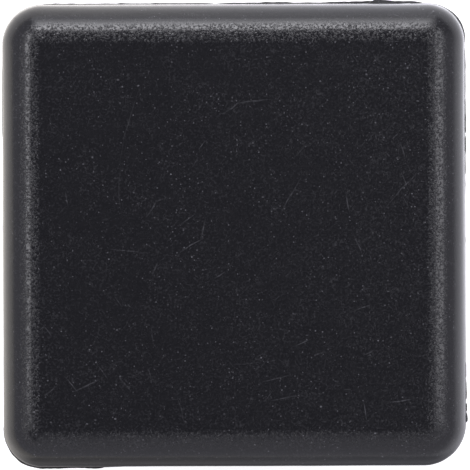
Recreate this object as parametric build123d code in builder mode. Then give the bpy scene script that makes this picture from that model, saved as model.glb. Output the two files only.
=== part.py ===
from build123d import *
from math import radians, sqrt, tan
import os

os.makedirs("parts", exist_ok=True)

# Ribbed end cap for a square steel tube, moulded in one piece in black polyethylene.
# Millimetres. The origin is the centre of the head's underside, which seats on the tube's end.
# +Z points out of the tube through the middle of the head, and the stem runs down into the tube.

# The square tube that the cap closes
tube_side = 25.0              # outside width
tube_wall_thin = 1.0          # thinnest wall, whose bore the fins still grip
tube_wall_thick = 2.0         # thickest wall, whose bore the stem still enters

# Head
head_overhang = 0.0           # how far the head stands out past the tube on each side
head_corner_radius = 2.2      # upright corners, in plan, at the parting line
face_corner_radius = 0.1      # what is left of them on the flat face, inside the rounded edge
head_height = 4.0
head_draft_angle = 1.5        # degrees, so that the head leaves its own half of the mould
face_thickness = 2.0          # plastic between the head's face and the stem's hollow

# Stem
stem_wall = 1.6               # at the open end
stem_corner_radius = 1.5
stem_root_radius = 0.3        # inner corner between the stem and the seat
draft_angle = 0.5             # degrees, outside and inside, so that the stem leaves its mould
fin_room = 1.1                # gap beside the stem that takes the bent fins in the thickest wall
lead_in_length = 1.4          # sloped outer edge of the open end, along the stem
lead_in_depth = 0.5           # and across its wall
hollow_corner_radius = 1.0
hollow_end_radius = 0.6       # rounded inner edge at the closed end

# Fins
fin_count = 4
fin_pitch = 3.0
fin_bite = 0.2                # how far each fin overlaps the wall of the widest bore
fin_tip_thickness = 0.45
fin_root_thickness = 0.95
first_fin_depth = 2.4         # from the seat to the first fin
last_fin_gap = 0.25           # plain stem between the last fin and the lead-in
notch_angle = 44.0            # degrees, opening of the relief notch in each corner of the fins
notch_web = 0.3               # fin left between a notch and the stem's corner
flap_corner_radius = 0.4      # corners of the flaps and roots of the notches, in plan

# Mould marks on the parting line, which is the lower edge of the head
flash_thickness = 0.08
flash_rooting = 0.4           # how far the flash is carried into the head
flash_step = 0.75             # spacing of the widths that draw its ragged edge
gate_width = 1.5
gate_height = 0.5
gate_stub = 0.22              # what the trimming left of the gate
gate_from_corner = 2.2        # from the end of the corner's curve to the middle of the gate

# Sizes that follow from them
head_side = tube_side + 2 * head_overhang
straight_half = head_side / 2 - head_corner_radius
head_lean = head_height * tan(radians(head_draft_angle))
head_edge_radius = head_corner_radius - head_lean - face_corner_radius
stem_side = tube_side - 2 * tube_wall_thick - 2 * fin_room
fin_side = tube_side - 2 * tube_wall_thin + 2 * fin_bite
fin_stack = (fin_count - 1) * fin_pitch + fin_root_thickness
stem_length = first_fin_depth + fin_stack + last_fin_gap + lead_in_length
draft = tan(radians(draft_angle))
mouth_side = stem_side - 2 * (stem_length * draft + stem_wall)
hollow_end = head_height - face_thickness


def flash_outline(side, corner, gap, widths):
    """Plan of one ragged piece of flash, on the side that a turn of so many degrees brings to +Y.

    It starts at a gap from the corner at the side's right (1) or left (-1) end, and widths gives
    how far it stands out at each step from there.
    """
    edge = head_side / 2
    along = [corner * (straight_half - gap - i * flash_step) for i in range(len(widths))]
    with BuildSketch(Plane.XY.rotated((0, 0, side))) as outline:
        with BuildLine():
            ragged = Spline(*[(x, edge + width) for x, width in zip(along, widths)])
            Polyline(
                ragged @ 1,
                (along[-1], edge - flash_rooting),
                (along[0], edge - flash_rooting),
                ragged @ 0,
            )
        make_face()
    return outline.sketch


with BuildPart() as end_cap:
    # Fins: plates across the whole stem, flat towards the head, so that they hold, and sloped
    # underneath, so that they bend on the way in
    for fin in range(fin_count):
        fin_top = -(first_fin_depth + fin * fin_pitch)
        root_side = stem_side + 2 * (fin_top - fin_root_thickness) * draft
        with BuildSketch(Plane.XY.offset(fin_top)):
            Rectangle(fin_side, fin_side)
        extrude(amount=-fin_tip_thickness)
        with BuildSketch(Plane.XY.offset(fin_top - fin_tip_thickness)):
            Rectangle(fin_side, fin_side)
        with BuildSketch(Plane.XY.offset(fin_top - fin_root_thickness)):
            Rectangle(root_side, root_side)
        loft(ruled=True)

    # Relief notches: one in each corner of every fin, so that its four flaps bend by themselves
    notch_start = sqrt(2) * (stem_side / 2 - stem_corner_radius) + stem_corner_radius + notch_web
    notch_end = fin_side / sqrt(2)
    notch_half = (notch_end - notch_start) * tan(radians(notch_angle / 2))
    with BuildSketch(Plane.XY.offset(-first_fin_depth)) as fin_plan:
        Rectangle(fin_side, fin_side)
        with PolarLocations(0, 4, start_angle=45):
            Polygon(
                (notch_start, 0),
                (notch_end, -notch_half),
                (notch_end, notch_half),
                align=None,
                mode=Mode.SUBTRACT,
            )
        fillet(fin_plan.vertices(), radius=flap_corner_radius)
    extrude(amount=-fin_stack, mode=Mode.INTERSECT)

    # Stem: tapering to its free end, with the sloped edge that finds the bore
    with BuildSketch():
        RectangleRounded(stem_side, stem_side, stem_corner_radius)
    extrude(amount=-stem_length, taper=draft_angle)
    stem_end = end_cap.faces().sort_by(Axis.Z)[0]
    chamfer(stem_end.edges(), length=lead_in_depth, length2=lead_in_length, reference=stem_end)

    # Head: a square with rounded corners, its upper edge rounded over all the way round
    with BuildSketch():
        RectangleRounded(head_side, head_side, head_corner_radius)
    extrude(amount=head_height, taper=head_draft_angle)
    face = end_cap.faces().sort_by(Axis.Z)[-1]
    fillet(face.edges(), radius=head_edge_radius)
    seat = end_cap.faces().filter_by_position(Axis.Z, 0, 0)[0]
    fillet(seat.inner_wires()[0].edges(), radius=stem_root_radius)

    # Hollow: open at the stem's end and carried up into the head, so that no wall is thick
    with BuildSketch(Plane.XY.offset(-stem_length)):
        RectangleRounded(mouth_side, mouth_side, hollow_corner_radius)
    extrude(amount=stem_length + hollow_end, taper=draft_angle, mode=Mode.SUBTRACT)
    ceiling = end_cap.faces(Select.LAST).sort_by(Axis.Z)[-1]
    fillet(ceiling.edges(), radius=hollow_end_radius)

    # Flash: thin along the far side, heavier beside the gate and at three of the corners
    for side, corner, gap, widths in (
        (0, -1, 0.0, (0.02, 0.08, 0.07, 0.09, 0.07, 0.08, 0.06, 0.08, 0.07, 0.09, 0.08)),
        (0, 1, 0.0, (0.01, 0.1, 0.15, 0.14, 0.17, 0.13, 0.1, 0.09)),
        (-90, 1, 0.1, (0.02, 0.14, 0.1, 0.15, 0.04)),
        (-90, -1, 0.3, (0.01, 0.08, 0.1, 0.08, 0.1, 0.09, 0.07, 0.08, 0.01)),
        (180, 1, 0.0, (0.12, 0.2, 0.18, 0.13, 0.1, 0.05, 0.01)),
        (90, 1, 0.2, (0.01, 0.06, 0.05, 0.06, 0.02)),
    ):
        extrude(flash_outline(side, corner, gap, widths), amount=flash_thickness)

    # Gate: the stub of the channel that the plastic came in by, torn off at the parting line
    with BuildSketch():
        with Locations((straight_half - gate_from_corner, head_side / 2)):
            Rectangle(gate_width, 2 * gate_stub)
    extrude(amount=gate_height)

end_cap.part.label = "end_cap"
export_step(end_cap.part, "parts/end_cap.step")
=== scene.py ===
import math

import bmesh
import bpy
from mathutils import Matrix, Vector, noise


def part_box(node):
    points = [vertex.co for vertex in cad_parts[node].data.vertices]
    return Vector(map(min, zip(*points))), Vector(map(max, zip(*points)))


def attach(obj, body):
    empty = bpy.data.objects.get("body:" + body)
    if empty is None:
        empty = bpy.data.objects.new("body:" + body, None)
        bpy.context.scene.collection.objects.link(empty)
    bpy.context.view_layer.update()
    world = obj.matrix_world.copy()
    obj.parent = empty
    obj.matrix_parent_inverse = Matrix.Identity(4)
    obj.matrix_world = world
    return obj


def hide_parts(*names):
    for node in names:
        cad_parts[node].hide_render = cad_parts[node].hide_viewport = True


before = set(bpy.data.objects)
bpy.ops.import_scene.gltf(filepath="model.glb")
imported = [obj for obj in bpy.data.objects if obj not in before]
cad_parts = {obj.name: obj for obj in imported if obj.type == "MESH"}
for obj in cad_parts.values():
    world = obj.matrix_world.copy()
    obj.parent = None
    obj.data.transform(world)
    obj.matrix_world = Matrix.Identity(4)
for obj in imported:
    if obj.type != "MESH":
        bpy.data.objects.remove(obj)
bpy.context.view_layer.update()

# ---------------------------------------------------------------------------------------------
# The head: a square lid with rounded corners, one lump with the rest of the cap, moulded in
# black polyethylene. Its sides lean in a little so that it leaves the mould, and its whole
# upper edge is rounded over into the flat face.
# ---------------------------------------------------------------------------------------------
mm = 0.001
low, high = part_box("end_cap")
stem_tip, head_top = low.z, high.z

head_half = 12.5 * mm            # half the width over the parting line
head_corner = 2.2 * mm           # upright corner, in plan
head_draft = math.radians(1.5)
head_edge = 1.995 * mm           # radius of the rounded upper edge
corner_trim = {                  # how much sharper the corner at each end of X and Y came out
    (-1, 1): -0.02 * mm,
    (1, 1): 0.1 * mm,
    (1, -1): -0.1 * mm,
    (-1, -1): 0.08 * mm,
}

head_core = head_half - head_corner
lean_in = (head_top - head_edge) * math.tan(head_draft)
edge_middle = head_half - lean_in - head_edge / math.cos(head_draft)

# The head starts as a flat grid. Its middle becomes the face, the first step of its border
# reaches the end of the flat, and the rest of the border goes over the rounded edge.
flat_steps = 60                  # faces along each straight side
corner_steps = 16                # faces along half of each corner
steps = flat_steps + 2 * corner_steps
flat_share = flat_steps / steps
face_share = 1 / corner_steps
hair = 1e-6                      # allowance for rounding, in shares of the grid

bm = bmesh.new()
core = bm.verts.layers.float_vector.new("core")      # place on the square of the corners' middles
out = bm.verts.layers.float_vector.new("out")        # direction from there to the outline
softness = bm.edges.layers.float.new("bevel_weight_edge")
extra = bm.verts.layers.int.new("extra")             # set where only the flash needs the vertex
bmesh.ops.create_grid(bm, x_segments=steps, y_segments=steps, size=1.0)


def past_flat(u):
    """How far out in the border a coordinate of the grid is, from 0 to 1 at the open edge."""
    return (abs(u) - flat_share) / (1 - flat_share) if abs(u) > flat_share + hair else 0.0


def trim_at(v):
    """How much sharper than its nominal radius the corner is, shared out between the four."""
    return sum(
        trim * (1 + x * v[core].x) * (1 + y * v[core].y) / 4
        for (x, y), trim in corner_trim.items()
    )


for v in bm.verts:
    inner = [max(-1.0, min(1.0, u / flat_share)) for u in v.co.xy]
    over = [past_flat(u) for u in v.co.xy]
    reach = max(over)
    v[core] = (*inner, 0)
    if reach:
        turn = math.pi / 4 * min(over) / reach
        if over[1] > over[0]:
            turn = math.pi / 2 - turn
        v[out] = (math.copysign(math.cos(turn), inner[0]),
                  math.copysign(math.sin(turn), inner[1]), 0)
    if reach <= face_share + hair:
        away, z = reach / face_share * (edge_middle - head_core), head_top
    else:
        share = (reach - face_share) / (1 - face_share)
        lean = math.pi / 2 - share * (math.pi / 2 - head_draft)
        away = edge_middle - head_core + head_edge * math.cos(lean)
        z = head_top - head_edge + head_edge * math.sin(lean)
    trim = trim_at(v)
    v.co = v[core] * (head_core + trim) + v[out] * (away - trim)
    v.co.z = z

open_edge = [e for e in bm.edges if e.is_boundary]


def ring(half, z, middle, soften=0.0):
    """Carries the open edge on to the next square of the profile, of so much half width, with
    its corners' middles at middle. Soften says how much of the edge's sharpness is taken off."""
    made = bmesh.ops.extrude_edge_only(bm, edges=open_edge)["geom"]
    fresh = {g for g in made if isinstance(g, bmesh.types.BMVert)}
    open_edge[:] = [g for g in made if isinstance(g, bmesh.types.BMEdge) and set(g.verts) <= fresh]
    for v in fresh:
        trim = trim_at(v) if middle == head_core else 0.0
        v.co = v[core] * (middle + trim) + v[out] * (half - middle - trim)
        v.co.z = z(v) if callable(z) else z
    for e in open_edge:
        e[softness] = soften
    return fresh


# ---------------------------------------------------------------------------------------------
# The parting line, round the foot of the head: a ragged film of plastic that crept between the
# closing faces of the mould, and the stub of the gate that the plastic came in by, which was
# torn off. Both are left as they came out of the mould.
# ---------------------------------------------------------------------------------------------
flash_thickness = 0.08 * mm
flash_rims = (0.8, 0.2)          # heights of its blunt edge, in shares of its thickness
least_flash = 0.006 * mm
flash_share = 0.9                # of the widths below, on average
flash_waver = 0.2                # and how much of them comes and goes along the edge
waver_length = mm / 3.1
flash = {    # for each side of the square: how far along it, and the width there, in millimetres
    "far": (
        (-10.3, 0.02), (-9.9, 0.03), (-9.6, 0.05), (-9.2, 0.035), (-8.7, 0.055), (-8.4, 0.03),
        (-7.8, 0.045), (-7.3, 0.035), (-6.9, 0.05), (-6.3, 0.03), (-6.1, 0.06), (-5.8, 0.04),
        (-4.5, 0.035), (-4.25, 0.06), (-4.0, 0.05), (-2.6, 0.04), (-1.4, 0.045), (-1.0, 0.01),
        (-0.5, 0.04), (0.0, 0.06), (1.3, 0.06), (1.7, 0.09), (2.9, 0.09), (3.2, 0.05),
        (4.1, 0.06), (4.7, 0.05), (5.2, 0.09), (6.4, 0.11), (7.5, 0.13), (8.9, 0.12),
        (9.6, 0.12), (10.0, 0.07), (10.3, 0.0),
    ),
    "right": (
        (-10.2, 0.0), (-9.8, 0.03), (-9.1, 0.05), (-8.8, 0.035), (-7.3, 0.04), (-6.4, 0.06),
        (-5.5, 0.06), (-5.4, 0.01), (-5.2, 0.06), (-4.5, 0.06), (-4.3, 0.03), (-3.3, 0.04),
        (-3.2, 0.01), (-2.7, 0.025), (-1.9, 0.0), (0.0, 0.0), (0.3, 0.02), (0.6, 0.0),
        (6.9, 0.0), (7.05, 0.03), (7.7, 0.03), (7.8, 0.0), (7.95, 0.03), (8.5, 0.05),
        (8.9, 0.05), (8.95, 0.005), (9.15, 0.005), (9.2, 0.07), (9.55, 0.07), (9.6, 0.015),
        (9.7, 0.06), (9.95, 0.1), (10.3, 0.08),
    ),
    "near": (
        (5.5, 0.0), (6.3, 0.03), (7.1, 0.06), (7.2, 0.12), (8.0, 0.13), (8.1, 0.09),
        (9.3, 0.12), (10.3, 0.13),
    ),
    "left": (
        (0.0, 0.0), (0.4, 0.02), (1.0, 0.0), (5.0, 0.0), (5.6, 0.03), (8.8, 0.03), (9.3, 0.0),
    ),
    # round a corner the place is in degrees, from the left or right side
    "far right": ((0, 0.02), (15, 0.06), (30, 0.08), (45, 0.06), (60, 0.02), (91, 0.0)),
    "near left": ((0, 0.02), (25, 0.06), (40, 0.1), (60, 0.14), (91, 0.13)),
}

gate_middle = 8.3                # along the far side, in millimetres as above
gate_half_width = 0.75           # in millimetres too
gate_height = 0.5 * mm
gate_stub = 0.2 * mm             # how far it stands out where it is tallest
gate_peak = -0.4                 # where that ends, in half widths from its middle
gate_slope = 0.45                # how fast it falls away from there
shoulder = 0.03 * mm             # height over the gate in which its shape ends
shoulder_lean = 0.001 * mm       # and how far the wall leans in over that height
seat_inset = 0.02 * mm           # the seat starts this far inside the parting line
wall_foot = head_half - gate_height * math.tan(head_draft)
nearly_one = 0.9999


def at_ends(v):
    """Whether a vertex of the outline is at the end of X, and whether it is at the end of Y.
    On a straight side only one of them holds, and round a corner both do."""
    return abs(v[core].x) > nearly_one, abs(v[core].y) > nearly_one


def side_of(v):
    """Which side or corner a vertex of the outline is on, and how far along it."""
    x, y = v.co.x / mm, v.co.y / mm
    end_of_x, end_of_y = at_ends(v)
    if end_of_x and end_of_y:
        name = ("far " if y > 0 else "near ") + ("right" if x > 0 else "left")
        return name, math.degrees(math.atan2(abs(v[out].y), abs(v[out].x)))
    if end_of_y:
        return ("far", x) if y > 0 else ("near", -x)
    return ("right", -y) if x > 0 else ("left", y)


def flash_width(v):
    """How far the flash stands out."""
    side, along = side_of(v)
    width = 0.0
    knots = flash.get(side, ())
    for (start, first), (end, last) in zip(knots, knots[1:]):
        if start <= along < end:
            width = first + (last - first) * (along - start) / (end - start)
            width *= flash_share + flash_waver * noise.noise(v.co / waver_length)
    return max(least_flash, width * mm)


def gate_out(v):
    """How far the torn stub stands out: tallest near one end, then sloping away."""
    side, along = side_of(v)
    across = (along - gate_middle) / gate_half_width
    if side != "far" or abs(across) > 1:
        return 0.0
    return gate_stub * (1.0 if across < gate_peak else 1.0 - gate_slope * (across - gate_peak))


ring(wall_foot - shoulder_lean, gate_height + shoulder, head_core)
for v in ring(wall_foot, gate_height, head_core):
    v.co.y += gate_out(v)
for v in ring(head_half, flash_thickness, head_core):
    v.co.y += gate_out(v)

# the flash's outline takes four times as many vertices as the wall above it and the seat below
for g in bmesh.ops.subdivide_edges(bm, edges=open_edge, cuts=3)["geom_inner"]:
    if isinstance(g, bmesh.types.BMVert):
        g[extra] = 1
open_edge[:] = [e for e in bm.edges if e.is_boundary]
for rim in flash_rims:
    for v in ring(head_half, flash_thickness * rim, head_core):
        v.co += v[out].normalized() * max(flash_width(v), gate_out(v))
seat_edge = ring(head_half - seat_inset, 0.0, head_core)
bmesh.ops.dissolve_verts(bm, verts=[v for v in seat_edge if v[extra]])
open_edge[:] = [e for e in bm.edges if e.is_boundary]

# ---------------------------------------------------------------------------------------------
# The stem: a square plug under the head, of the same plastic and in one lump with it. It tapers
# slightly towards its open end, so that it leaves the mould, and springs from the seat with a
# small rounded root.
# ---------------------------------------------------------------------------------------------
stem_half = 9.4 * mm             # at the seat
stem_corner = 1.5 * mm
stem_root = 0.3 * mm
root_steps = 3
stem_core = stem_half - stem_corner
draft = math.tan(math.radians(0.5))


def stem_at(z):
    """Half the stem's width at a height."""
    return stem_half + z * draft


for step in range(root_steps + 1):
    angle = math.pi / 2 * step / root_steps
    ring(stem_half + stem_root * (1 - math.sin(angle)), -stem_root * (1 - math.cos(angle)),
         stem_core)

# ---------------------------------------------------------------------------------------------
# The fins: four rows of thin flaps round the stem, moulded with it, that bend in the tube's bore
# and grip it. They are flat towards the head and sloped underneath, and a notch in each corner
# lets the four flaps of a row bend by themselves.
# ---------------------------------------------------------------------------------------------
fin_half = 11.7 * mm
fin_count = 4
fin_pitch = 3.0 * mm
first_fin = -2.4 * mm
tip_thickness = 0.45 * mm
root_thickness = 0.95 * mm
notch_half_angle = math.radians(22)
notch_web = 0.3 * mm             # fin left between a notch and the stem's corner
flap_corner = 0.4 * mm           # corners of the flaps and roots of the notches, in plan
fin_root_softness, edge_softness = 0.8, 1.0

# the notched plan of a fin, for half a corner: round the flap's corner, down the notch's wall,
# and into its root
curve_points = 6                 # round the flap's corner, and as many round the notch's root
wall_points = corner_steps + 1 - 2 * curve_points
wall_angle = math.pi / 4 + notch_half_angle
wall = Vector((math.cos(wall_angle), math.sin(wall_angle)))
notch_apex = (math.sqrt(2) * stem_core + stem_corner + notch_web) / math.sqrt(2)
apex = Vector((notch_apex, notch_apex))
flap_end = apex + wall * ((fin_half - apex.y) / wall.y)
corner_cut = flap_corner / math.tan(wall_angle / 2)
flap_middle = Vector((flap_end.x - corner_cut, fin_half - flap_corner))
diagonal = Vector((1, 1)).normalized()
root_middle = diagonal * (apex.length + flap_corner / math.sin(notch_half_angle))


def arc(middle, start, turn):
    """Points on a curve of the flap's corner radius, turning so far from a starting angle."""
    angles = [start + turn * i / (curve_points - 1) for i in range(curve_points)]
    return [middle + flap_corner * Vector((math.cos(a), math.sin(a))) for a in angles]


round_flap = arc(flap_middle, math.pi / 2, wall_angle - math.pi)
round_root = arc(root_middle, wall_angle + math.pi / 2, math.pi / 2 - notch_half_angle)
notch_wall = [
    round_flap[-1].lerp(round_root[0], i / (wall_points + 1)) for i in range(1, wall_points + 1)
]
outline = round_flap + notch_wall + round_root


def on_plan(v):
    """Place of a vertex of the ring on the fin's notched outline."""
    end_of_x, end_of_y = at_ends(v)
    if not end_of_x:
        return Vector((flap_middle.x * v[core].x, fin_half * v[core].y))
    if not end_of_y:
        return Vector((fin_half * v[core].x, flap_middle.x * v[core].y))
    turn = math.atan2(abs(v[out].y), abs(v[out].x))
    flip = turn < math.pi / 4
    place = (turn if flip else math.pi / 2 - turn) / (math.pi / 4) * corner_steps
    i = min(int(place + 1e-4), corner_steps - 1)    # a hair more, so that rounding drops no step
    p = outline[i].lerp(outline[i + 1], place - i)
    if flip:
        p = Vector((p.y, p.x))
    return Vector((math.copysign(p.x, v[core].x), math.copysign(p.y, v[core].y)))


for fin in range(fin_count):
    fin_top = first_fin - fin * fin_pitch
    bottom_half = stem_at(fin_top - root_thickness)

    def underside(v):
        """Height of the fin's sloped underside."""
        share = (fin_half - max(abs(v.co.x), abs(v.co.y))) / (fin_half - bottom_half)
        return fin_top - tip_thickness - share * (root_thickness - tip_thickness)

    ring(stem_at(fin_top), fin_top, stem_core, fin_root_softness)
    for v in ring(fin_half, fin_top, stem_core, edge_softness):
        v.co.xy = on_plan(v)
    for v in ring(fin_half, fin_top, stem_core, edge_softness):
        v.co.xy = on_plan(v)
        v.co.z = underside(v)
    ring(bottom_half, underside, stem_core, fin_root_softness)

# ---------------------------------------------------------------------------------------------
# The open end and the hollow: the stem's sloped edge, which finds the bore, and the empty inside
# of the stem, which runs up into the head so that no wall is thick. The core of the mould leaves
# it with a slight taper and rounded inner corners.
# ---------------------------------------------------------------------------------------------
lead_length, lead_depth = 1.4 * mm, 0.5 * mm
mouth_softness = 0.8
stem_wall = 1.6 * mm             # at the open end
hollow_corner = 1.0 * mm
hollow_end = 2.0 * mm            # above the seat
hollow_round = 0.6 * mm          # rounded inner edge at the closed end
round_steps = 6
flat_inset = 0.2 * mm            # last ring, on the flat of the closed end

lead_top = stem_tip + lead_length
ring(stem_at(lead_top), lead_top, stem_core, mouth_softness)
ring(stem_at(stem_tip) - lead_depth, stem_tip, stem_core, mouth_softness)

hollow_half = stem_at(stem_tip) - stem_wall
hollow_core = hollow_half - hollow_corner
ring(hollow_half, stem_tip, hollow_core, mouth_softness)
end_half = hollow_half - (hollow_end - stem_tip) * draft
for step in range(round_steps + 1):
    angle = math.pi / 2 * step / round_steps
    ring(end_half - hollow_round * (1 - math.cos(angle)),
         hollow_end - hollow_round * (1 - math.sin(angle)), hollow_core)
ring(end_half - hollow_round - flat_inset, hollow_end, hollow_core - flat_inset / 2)
bmesh.ops.contextual_create(bm, geom=open_edge)
bmesh.ops.recalc_face_normals(bm, faces=bm.faces)

# ---------------------------------------------------------------------------------------------
# The whole moulding: one piece of black polyethylene, with nothing fixed to it. Its skin sank a
# little and unevenly as it cooled, and no edge is quite sharp. It came from a mould that was
# polished over the flat and grained round the edge, and handling has dusted and scratched it.
# ---------------------------------------------------------------------------------------------
sink, sink_spread = 0.018 * mm, 0.012 * mm
long_wave, short_wave = 5 * mm, 1.6 * mm
short_share = 0.5                # height of the short waves, in shares of the long ones'

bm.normal_update()
for v in bm.verts:
    wave = noise.noise(v.co / long_wave) + short_share * noise.noise(v.co / short_wave)
    v.co -= v.normal * (sink + sink_spread * wave)
for f in bm.faces:
    f.smooth = True

mesh = bpy.data.meshes.new("cap_moulding")
bm.to_mesh(mesh)
bm.free()
cap = bpy.data.objects.new("cap_moulding", mesh)
bpy.context.scene.collection.objects.link(cap)
bevel = cap.modifiers.new("softened edges", "BEVEL")
bevel.limit_method = "WEIGHT"
bevel.width = 0.1 * mm
bevel.segments = 2
bevel.profile = 0.5
bevel.use_clamp_overlap = False
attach(cap, "root")
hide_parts("end_cap")

# The plastic's colours and surface
black = (0.0112, 0.0112, 0.0130, 1)
# the pale grey of dust, scratches and other marks, and of the painted glints among the fine specks
dust_and_glint_grey = (0.132, 0.132, 0.142, 1)
sheen = (0.135, 0.19)            # least and most roughness
grain_depth, pit_depth = 0.020 * mm, 0.025 * mm

# where the grain changes, in millimetres
side_to_edge = (3.62, 3.84)      # up the head's side
flat_to_edge = (10.15, 10.85)    # from the middle of the face, on every side
flat_to_end_edge = (10.2, 10.9)  # from the middle of the face, on the near and far sides
left_to_right = (-6, 9)          # across the flat, which was polished less well on the right

plastic = bpy.data.materials.new("black_polyethylene")
plastic.use_nodes = True
nodes, links = plastic.node_tree.nodes, plastic.node_tree.links    # the helpers below draw here
shade = nodes["Principled BSDF"]
on_cap = nodes.new("ShaderNodeTexCoord")
in_mm = nodes.new("ShaderNodeMapping")
in_mm.inputs["Scale"].default_value = (1 / mm, 1 / mm, 1 / mm)
links.new(on_cap.outputs["Object"], in_mm.inputs[0])


def noise_at(scale, detail=2.0, distortion=0.0):
    """Soft noise with so many waves to the millimetre."""
    waves = nodes.new("ShaderNodeTexNoise")
    waves.inputs["Scale"].default_value = scale
    waves.inputs["Detail"].default_value = detail
    waves.inputs["Distortion"].default_value = distortion
    links.new(in_mm.outputs[0], waves.inputs["Vector"])
    return waves.outputs["Fac"]


def remap(value, from_min, from_max, to_min, to_max):
    """A smooth step from one level to another while the value crosses a range."""
    step = nodes.new("ShaderNodeMapRange")
    step.interpolation_type = "SMOOTHSTEP"
    step.inputs["From Min"].default_value = from_min
    step.inputs["From Max"].default_value = from_max
    step.inputs["To Min"].default_value = to_min
    step.inputs["To Max"].default_value = to_max
    links.new(value, step.inputs["Value"])
    return step.outputs["Result"]


def calc(operation, *values):
    """One step of arithmetic on numbers and outputs."""
    sum_node = nodes.new("ShaderNodeMath")
    sum_node.operation = operation
    for socket, value in zip(sum_node.inputs, values):
        if isinstance(value, (int, float)):
            socket.default_value = value
        else:
            links.new(value, socket)
    return sum_node.outputs[0]


def specks(scale, size, rarity=3.0):
    """Small soft dots of so many millimetres, each with a strength of its own."""
    cells = nodes.new("ShaderNodeTexVoronoi")
    cells.inputs["Scale"].default_value = scale
    links.new(in_mm.outputs[0], cells.inputs["Vector"])
    rim, heart = size * scale, 0.2 * size * scale
    dot = remap(cells.outputs["Distance"], rim, heart, 0, 1)
    pick = nodes.new("ShaderNodeSeparateColor")
    links.new(cells.outputs["Color"], pick.inputs[0])
    return calc("MULTIPLY", dot, calc("POWER", pick.outputs[0], rarity))


def bumped(height, depth, strength, under=None):
    """Relief of so much depth, on top of the relief under it."""
    bump = nodes.new("ShaderNodeBump")
    bump.inputs["Distance"].default_value = depth
    links.new(strength, bump.inputs["Strength"])
    links.new(height, bump.inputs["Height"])
    if under is not None:
        links.new(under, bump.inputs["Normal"])
    return bump.outputs[0]


def blend(share, first, second):
    """A colour between two others."""
    mix = nodes.new("ShaderNodeMix")
    mix.data_type = "RGBA"
    for socket, end in zip(("A", "B"), (first, second)):
        if isinstance(end, tuple):
            mix.inputs[socket].default_value = end
        else:
            links.new(end, mix.inputs[socket])
    links.new(share, mix.inputs["Factor"])
    return mix.outputs["Result"]


at = nodes.new("ShaderNodeSeparateXYZ")
links.new(in_mm.outputs[0], at.inputs[0])
sideways, lengthways = calc("ABSOLUTE", at.outputs["X"]), calc("ABSOLUTE", at.outputs["Y"])
from_middle = calc("MAXIMUM", sideways, lengthways)

# The moulded grain and the pits between it
grained_edge = remap(from_middle, *flat_to_edge, 0.0, 1.0)
grained_flat = remap(at.outputs["X"], *left_to_right, 0.18, 0.30)
textured = calc("MULTIPLY", remap(at.outputs["Z"], *side_to_edge, 0.1, 1.0),
                calc("MAXIMUM", grained_edge, grained_flat))
textured = calc("MULTIPLY", textured, remap(lengthways, *flat_to_end_edge, 1.0, 0.74))
grain = remap(noise_at(8.0, 2.0, 0.8), 0.49, 0.7, 0.0, 1.0)
pits = specks(6.0, 0.07, 1.5)
relief = bumped(pits, pit_depth, textured, under=bumped(grain, grain_depth, textured))
links.new(relief, shade.inputs["Normal"])
links.new(remap(noise_at(1.3, 3.0), 0.3, 0.7, *sheen), shade.inputs["Roughness"])

# Dust: coarse specks that lie in drifts, and fine ones, which show a little more on the right;
# that rise to the right is painted glints, where the grain catches the lamps
coarse_dust = calc("MULTIPLY", specks(2.7, 0.055), remap(noise_at(0.35), 0.35, 0.65, 0.3, 1.0))
fine_dust_and_glints = calc("MULTIPLY", specks(4.3, 0.05, 2.0), remap(at.outputs["X"], -8, 8, 0.45, 0.6))
dust_and_glints = calc("ADD", coarse_dust, fine_dust_and_glints)
dust_and_glint_strength = 1.7

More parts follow.
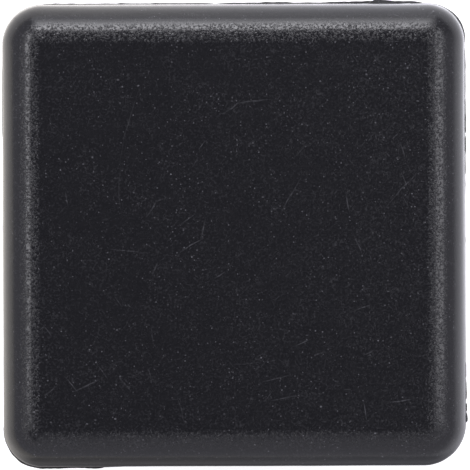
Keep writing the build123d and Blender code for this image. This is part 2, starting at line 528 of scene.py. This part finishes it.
# Scratches on the top of the head: both ends of each, in millimetres from the middle of the face,
# and its strength
scratches = (
    (-5.23, 7.56, -6.26, 3.78, 0.3), (-6.2, 3.51, -6.1, 1.24, 0.3),
    (-4.75, 0.97, -4.21, 1.67, 0.6), (-4.21, 1.67, -3.83, 1.84, 0.6),
    (-2.8, 0.65, -2.21, 1.03, 0.8), (-1.83, -0.16, -1.67, 0.59, 1.0),
    (-1.88, 4.54, -1.61, 4.97, 1.0), (-2.26, 3.62, -1.99, 4.05, 0.6),
    (-9.07, 2.27, -9.01, 1.67, 0.8), (-0.37, 6.64, 0.33, 7.07, 0.8),
    (0.33, 6.97, 1.73, 7.13, 0.6), (2.54, 1.46, 3.35, 2.81, 0.7), (3.25, 4.16, 3.73, 4.75, 0.5),
    (8.27, 1.57, 9.94, 3.46, 0.7), (8.97, 3.24, 9.35, 2.43, 0.8), (9.08, 1.94, 9.46, 1.35, 0.6),
    (5.95, 2.21, 6.16, 1.19, 0.9), (7.57, 5.45, 7.62, 4.97, 0.5), (8.48, 5.08, 8.86, 5.4, 0.6),
    (8.92, 4.86, 9.13, 4.16, 0.6), (-2.75, -0.92, -1.83, -0.27, 1.0),
    (-6.64, -0.76, -5.18, -0.92, 0.6), (-6.42, -3.35, -6.1, -3.83, 0.5),
    (-10.31, -4.91, -9.93, -5.45, 0.7), (-4.37, -5.02, -4.26, -5.89, 0.4),
    (-8.47, -8.32, -7.45, -7.88, 1.0), (-8.96, -7.78, -8.47, -8.32, 0.8),
    (-10.15, -8.53, -9.61, -8.15, 0.7), (-7.34, -7.07, -6.85, -7.78, 0.5),
    (-6.26, -7.72, -5.72, -8.42, 0.5), (-4.69, -7.18, -4.53, -7.67, 0.5),
    (-3.13, -8.91, -2.8, -10.15, 0.5), (-1.13, -2.32, -0.7, -2.0, 0.8),
    (-4.42, -2.21, -4.15, -1.57, 0.6), (6.38, -0.27, 6.65, -1.03, 1.0),
    (7.13, -1.19, 7.3, -1.73, 0.5), (6.49, -4.1, 7.19, -3.83, 1.0),
    (3.3, -6.05, 4.06, -5.67, 0.8), (4.27, -6.59, 4.81, -6.43, 0.7),
    (6.97, -6.53, 7.51, -6.26, 0.6), (0.33, -7.02, 1.36, -6.86, 0.5),
    (1.52, -7.88, 2.76, -7.56, 0.6), (1.63, -8.96, 1.95, -8.42, 0.6),
    (1.95, -8.91, 3.14, -8.64, 0.6), (8.27, -9.02, 9.51, -8.86, 1.0),
    (6.86, -9.13, 7.03, -9.99, 0.9), (5.78, -8.37, 6.27, -8.48, 0.4),
    (10.43, 11.61, 10.54, 11.77, 1.0), (10.54, 11.77, 10.7, 11.93, 0.9),
    (8.32, 11.77, 9.02, 11.69, 0.5),
)
scratch_half_width = 0.042
scratch_strength = 0.58
fading_ends = 0.7                # half length of the fading line, in lengths of the scratch

# Pale specks of chalk: the place of each, in the same way, and its strength
chalk_dots = (
    (4.49, -9.23, 1.0), (-6.47, -9.88, 1.0), (7.46, -10.75, 0.8), (7.94, -12.04, 0.7),
    (-10.74, -10.69, 0.7), (-9.82, -10.1, 0.6), (-7.77, -6.16, 0.7), (-6.31, -5.13, 0.6),
    (-8.09, 3.83, 0.6), (-7.66, 4.16, 0.6), (-5.23, 8.1, 0.9), (-6.26, 8.42, 0.6),
    (-10.47, -8.1, 0.6), (-6.2, -7.67, 0.6), (9.35, 8.86, 0.8), (9.13, 8.42, 0.6),
    (4.65, 8.21, 0.7), (7.13, 8.59, 0.6), (-11.12, 9.02, 0.7), (-7.45, -9.94, 0.5),
    (-7.88, -10.21, 0.6), (9.89, 12.15, 0.7), (10.16, 12.07, 0.6), (10.7, 11.93, 0.8),
)
chalk_size = (0.075, 0.06)       # half the length and half the width of a speck
chalk_strength = 1.4

# Everything that is drawn along a straight line is bent a little, by a slow drift of the place
drift_reach = 0.6                # the most that it moves a place, in millimetres
drift_middle = Vector((0.38, 0.42, 0.3))    # and what it comes to on average over the face
mark_depth = 3.0                 # how far below the face a mark reaches
face_height = head_top / mm
drift = nodes.new("ShaderNodeTexNoise")
drift.inputs["Scale"].default_value = 0.35
links.new(in_mm.outputs[0], drift.inputs["Vector"])
bent = nodes.new("ShaderNodeVectorMath")
bent.operation = "MULTIPLY_ADD"
links.new(drift.outputs["Color"], bent.inputs[0])
bent.inputs[1].default_value = (drift_reach, drift_reach, drift_reach)
links.new(in_mm.outputs[0], bent.inputs[2])


def soft_mark(middle, half_long, half_wide, turn=0.0):
    """A mark on the top of the head that fades out from its own middle."""
    spot = nodes.new("ShaderNodeMapping")
    spot.vector_type = "TEXTURE"
    spot.inputs["Location"].default_value = drift_middle + Vector((*middle, face_height))
    spot.inputs["Rotation"].default_value = (0, 0, turn)
    spot.inputs["Scale"].default_value = (half_long, half_wide, mark_depth)
    links.new(bent.outputs[0], spot.inputs[0])
    fade = nodes.new("ShaderNodeTexGradient")
    fade.gradient_type = "SPHERICAL"
    links.new(spot.outputs[0], fade.inputs[0])
    return fade.outputs["Fac"]


scuffs = 0.0
for x0, y0, x1, y1, strength in scratches:
    start, end = Vector((x0, y0)), Vector((x1, y1))
    along = end - start
    line = soft_mark((start + end) / 2, along.length * fading_ends, scratch_half_width,
                     math.atan2(along.y, along.x))
    scuffs = calc("MULTIPLY_ADD", line, strength * scratch_strength, scuffs)
scuffs = calc("MULTIPLY", scuffs, remap(noise_at(5.5, 1.0), 0.38, 0.6, 0.3, 1.0))

# Short curled fibres lie where the noise crosses its middle level, and a fine bloom in patches
crossing = calc("ABSOLUTE", calc("SUBTRACT", noise_at(3.0, 1.0, 0.6), 0.5))
fibres = calc("MULTIPLY", remap(crossing, 0.035, 0.0, 0.0, 0.13),
              remap(noise_at(2.9, 1.0), 0.52, 0.66, 0.0, 1.0))
bloom = calc("MULTIPLY", remap(noise_at(7.5, 2.0), 0.5, 0.72, 0.0, 0.11),
             remap(noise_at(0.45), 0.35, 0.62, 0.35, 1.0))

marks = calc("MULTIPLY_ADD", dust_and_glints, dust_and_glint_strength, calc("ADD", scuffs, fibres))
marks = calc("ADD", marks, bloom)
for x, y, strength in chalk_dots:
    marks = calc("MULTIPLY_ADD", soft_mark((x, y), *chalk_size), strength * chalk_strength, marks)

links.new(blend(marks, black, dust_and_glint_grey), shade.inputs["Base Color"])
mesh.materials.append(plastic)

# ---------------------------------------------------------------------------------------------
# The floor: a sheet of white paper that the cap stands on, plain to look at. The rim of the head
# mirrors it, so in reflections alone it has a light of its own, bright close by and fainter
# further out, and a painted shadow on the near side: a dark patch, darkest next to the cap,
# that stands in for the shade there, as if a card there kept the light off.
# ---------------------------------------------------------------------------------------------
floor_half = 2.0
patch_middle = (0.001, -0.095, stem_tip)
patch_half = (0.043, 0.115, 1)
lit_paper = (0.85, 0.85, 0.85, 1)
# the paper's colour in reflections inside the painted shadow
painted_shadow_paper = (0.12, 0.12, 0.13, 1)
warm_light, cool_light = (1.02, 0.94, 0.78, 1), (0.95, 0.95, 1.04, 1)
camera_light = 0.7               # glow of the paper itself, to the camera
mirror_light = 0.8               # and in the rim, where it is brightest

floor_mesh = bpy.data.meshes.new("floor")
floor_bm = bmesh.new()
bmesh.ops.create_grid(floor_bm, x_segments=1, y_segments=1, size=floor_half)
bmesh.ops.translate(floor_bm, verts=floor_bm.verts, vec=(0, 0, stem_tip))
floor_bm.to_mesh(floor_mesh)
floor_bm.free()
floor = bpy.data.objects.new("floor", floor_mesh)
bpy.context.scene.collection.objects.link(floor)

paper = bpy.data.materials.new("white_paper")
paper.use_nodes = True
nodes, links = paper.node_tree.nodes, paper.node_tree.links    # and from here on in this tree
sheet = nodes["Principled BSDF"]
sheet.inputs["Roughness"].default_value = 0.9
sheet.inputs["Specular IOR Level"].default_value = 0.0
ray = nodes.new("ShaderNodeLightPath")
on_floor = nodes.new("ShaderNodeTexCoord")
floor_at = nodes.new("ShaderNodeSeparateXYZ")
links.new(on_floor.outputs["Object"], floor_at.inputs[0])
floor_x, floor_y = floor_at.outputs["X"], floor_at.outputs["Y"]

# the painted shadow: a dark patch, seen in reflections alone, which fades out at its border and is
# darkest next to the cap
patch = nodes.new("ShaderNodeMapping")
patch.vector_type = "TEXTURE"
patch.inputs["Location"].default_value = patch_middle
patch.inputs["Scale"].default_value = patch_half
links.new(on_floor.outputs["Object"], patch.inputs[0])
patch_shade = nodes.new("ShaderNodeTexGradient")
patch_shade.gradient_type = "SPHERICAL"
links.new(patch.outputs[0], patch_shade.inputs[0])
painted_shadow = calc("MULTIPLY", remap(patch_shade.outputs["Fac"], 0.0, 0.35, 0.0, 1.0),
              remap(floor_y, -0.034, -0.022, 0.70, 0.93))
painted_shadow = calc("MULTIPLY", painted_shadow, remap(floor_y, -0.1, -0.035, 0.82, 1.0))
in_mirror = ray.outputs["Is Glossy Ray"]
# painted shadow: in reflections alone the paper's colour darkens inside the patch
links.new(blend(calc("MULTIPLY", in_mirror, painted_shadow), lit_paper, painted_shadow_paper),
          sheet.inputs["Base Color"])

# the light in reflections, which fades outwards, more so to the right and to the far side, and
# most of all into the two far corners
outwards = nodes.new("ShaderNodeVectorMath")
outwards.operation = "LENGTH"
links.new(on_floor.outputs["Object"], outwards.inputs[0])
far_corner = calc("MINIMUM", calc("ABSOLUTE", floor_x), floor_y)
# the painted shadow also takes the glow away inside the patch
bright = calc("MULTIPLY_ADD", painted_shadow, -mirror_light, mirror_light)
for value, starts, ends, left_over in (
    (outwards.outputs["Value"], 0.02, 0.08, 0.78),
    (floor_x, 0.015, 0.05, 0.85),
    (floor_y, 0.015, 0.05, 0.75),
    (far_corner, 0.006, 0.025, 0.6),
):
    bright = calc("MULTIPLY", bright, remap(value, starts, ends, 1.0, left_over))
tint = blend(remap(floor_x, -0.02, 0.01, 0.0, 1.0), warm_light, cool_light)
to_camera = ray.outputs["Is Camera Ray"]
links.new(blend(to_camera, tint, (1, 1, 1, 1)), sheet.inputs["Emission Color"])
links.new(calc("MULTIPLY_ADD", to_camera, camera_light, calc("MULTIPLY", in_mirror, bright)),
          sheet.inputs["Emission Strength"])
floor_mesh.materials.append(paper)

# ---------------------------------------------------------------------------------------------
# The room: a pale grey studio round the floor, a little brighter on the near side. It is dark
# straight overhead, where the camera hangs, and high up on the far and left sides, behind the
# softboxes.
# ---------------------------------------------------------------------------------------------
room_colour = (0.98, 0.965, 1.08)
level_light, overhead_light = 0.67, 0.02
lights_between = (               # how high up, from 0 level to 1 overhead, and how light there
    (0.41, 0.62), (0.79, 0.62), (0.9, 0.5), (0.966, 0.3), (0.985, 0.1),
)
near_gain = 0.22                 # how much brighter the near side is, and the far side darker

room = bpy.data.worlds.new("room")
bpy.context.scene.world = room
room.use_nodes = True
nodes, links = room.node_tree.nodes, room.node_tree.links    # and from here on in this one
back = nodes["Background"]
where = nodes.new("ShaderNodeTexCoord")
direction = nodes.new("ShaderNodeSeparateXYZ")
links.new(where.outputs["Generated"], direction.inputs[0])
room_x, room_y, room_z = (direction.outputs[axis] for axis in "XYZ")
ramp = nodes.new("ShaderNodeValToRGB")
links.new(room_z, ramp.inputs[0])
links.new(ramp.outputs["Color"], back.inputs["Color"])


def grey_of(light):
    """The room's colour at a lightness."""
    return (*(light * part for part in room_colour), 1)


stops = ramp.color_ramp.elements
stops[0].color, stops[1].color = grey_of(level_light), grey_of(overhead_light)
for height, light in lights_between:
    stops.new(height).color = grey_of(light)

far_right = calc("MINIMUM", room_x, room_y)
sides = calc("MULTIPLY", calc("MULTIPLY_ADD", room_y, -near_gain, 1.0),
             remap(far_right, 0.15, 0.55, 1.0, 0.6))
far_or_left = calc("MAXIMUM", room_y, calc("MULTIPLY", room_x, -1.0))
behind_lamps = calc("MULTIPLY", remap(far_or_left, 0.05, 0.28, 0.0, 0.82),
                    remap(room_z, 0.74, 0.84, 0.0, 1.0))
links.new(calc("MULTIPLY", sides, calc("SUBTRACT", 1.0, behind_lamps)), back.inputs["Strength"])

# ---------------------------------------------------------------------------------------------
# The softboxes: lamps behind white cloth to the left, the right and the far side of the cap,
# each along its side of the head. On the far side they stand one behind the other, each larger
# and fainter than the last, so that the light fades out instead of ending.
# ---------------------------------------------------------------------------------------------
softbox_colour = (0.99, 0.985, 1.03)


def softbox(name, middle, wide, long, radiance):
    """A lamp panel facing the cap, wide up and down and long the other way."""
    light = bpy.data.lights.new(name, "AREA")
    light.shape = "RECTANGLE"
    light.size = long
    light.size_y = wide
    light.energy = radiance * math.pi * wide * long
    light.color = softbox_colour
    lamp = bpy.data.objects.new(name, light)
    lamp.location = middle
    lamp.rotation_mode = "QUATERNION"
    towards = Vector(middle)
    if abs(towards.x) > abs(towards.y):
        towards.y = 0
    else:
        towards.x = 0
    lamp.rotation_quaternion = (-towards).to_track_quat("-Z", "Y")
    lamp.visible_camera = False
    bpy.context.scene.collection.objects.link(lamp)


def aim(degrees_down, reach):
    """How far out and how high a panel stands, so many degrees down from overhead."""
    angle = math.radians(degrees_down)
    return reach * math.sin(angle), reach * math.cos(angle) + head_top


# beside the cap: on the left (-1) or right, how far down from overhead, and the place along it
side_reach = 0.12
for name, side, degrees_down, along, wide, long, radiance in (
    ("left_softbox", -1, 39.5, 0.0325, 0.027, 0.091, 4.4),
    ("right_softbox", 1, 42.5, 0.0325, 0.052, 0.091, 2.75),
    ("left_end_softbox", -1, 46, 0.034, 0.030, 0.05, 0.6),
):
    away, up = aim(degrees_down, side_reach)
    softbox(name, (side * away, along, up), wide, long, radiance)

# on the far side: the left and right ends, and the upper and lower edges in degrees from overhead
for name, reach, left, right, upper, lower, radiance in (
    ("far_softbox", 0.12, -0.045, 0.013, 42.5, 61, 3.6),
    ("far_diffuser", 0.3, -0.07, 0.05, 42.5, 68, 1.8),
    ("far_diffuser_wide", 0.3, -0.09, 0.09, 42.5, 78, 1.2),
    ("far_wall_glow", 0.3, -0.13, 0.14, 42.5, 95, 1.0),
):
    away, up = aim((upper + lower) / 2, reach)
    wide = 2 * reach * math.tan(math.radians(lower - upper) / 2)
    softbox(name, ((left + right) / 2, away, up), wide, right - left, radiance)

# ---------------------------------------------------------------------------------------------
# The camera: a long lens that looks straight down on the head from 0.8 m, leaning by about a
# degree, with the head filling its frame.
# ---------------------------------------------------------------------------------------------
distance = 0.8
frame_width = 25.385 * mm
frame_pixels = 470
aim_right, aim_up = 2.1, -0.8    # where it aims, in pixels from the cap's middle
tilt_far, tilt_right = math.radians(1.2), math.radians(0.7)
roll = math.radians(-0.23)

camera = bpy.data.cameras.new("camera")
camera.sensor_width = 36
camera.lens = camera.sensor_width * distance / frame_width
camera.clip_start, camera.clip_end = 0.01, 10
eye = bpy.data.objects.new("camera", camera)
pixel = frame_width / frame_pixels
back_off = Vector((math.sin(tilt_right), math.sin(tilt_far), 1)).normalized()
eye.location = Vector((aim_right * pixel, aim_up * pixel, 0)) + back_off * distance
eye.rotation_euler = (-tilt_far, tilt_right, roll)
bpy.context.scene.collection.objects.link(eye)
bpy.context.scene.camera = eye
bpy.context.scene.view_settings.view_transform = "Standard"
